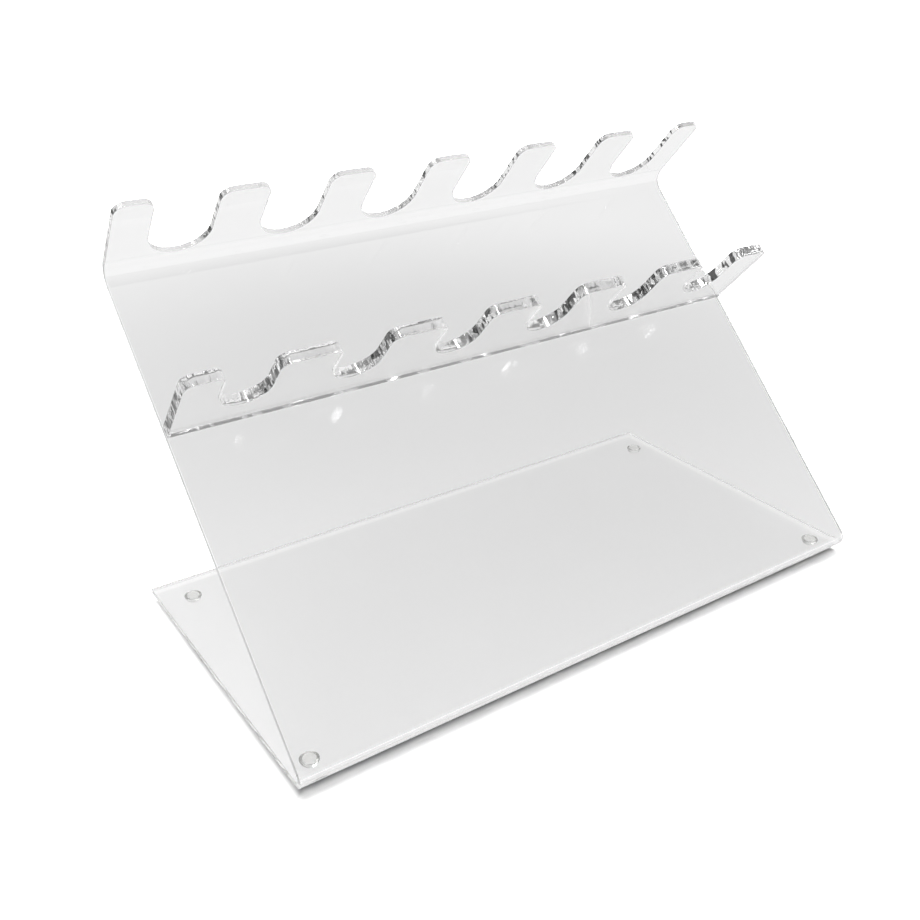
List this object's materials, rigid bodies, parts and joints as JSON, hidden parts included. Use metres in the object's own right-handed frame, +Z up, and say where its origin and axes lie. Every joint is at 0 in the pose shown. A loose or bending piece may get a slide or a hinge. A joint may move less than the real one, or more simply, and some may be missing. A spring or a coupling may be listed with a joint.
{
  "type": "slotted bench stand",
  "caption": "Free-standing stand of bent clear sheet that leans back over its base, with an upper and a lower row of open U cradles to hang slim instruments.",
  "frame": {"origin": "on the floor, under the middle of the stand's box", "axes": "+X to the right along the rows, +Y from the front bend to the back, +Z up"},
  "size_m": [0.3556, 0.1888, 0.231],
  "materials": {
    "acrylic_sheet": "clear cast acrylic sheet, polished faces, flame-polished edges",
    "acrylic_strip": "clear cast acrylic, polished faces, machined slot edges",
    "solvent_weld": "clear solvent weld with trapped air bubbles",
    "bumper": "clear soft polyurethane dome",
    "foot_adhesive": "clear pressure-sensitive adhesive with small bubbles"
  },
  "bodies": {
    "root": {"bent_sheet": "acrylic_sheet", "cradle_strip": "acrylic_strip", "weld_seam": "solvent_weld", "foot_front_left": "bumper", "foot_front_right": "bumper", "foot_rear_left": "bumper", "foot_rear_right": "bumper", "foot_adhesive_front_left": "foot_adhesive", "foot_adhesive_front_right": "foot_adhesive", "foot_adhesive_rear_left": "foot_adhesive", "foot_adhesive_rear_right": "foot_adhesive"}
  },
  "joints": []
}
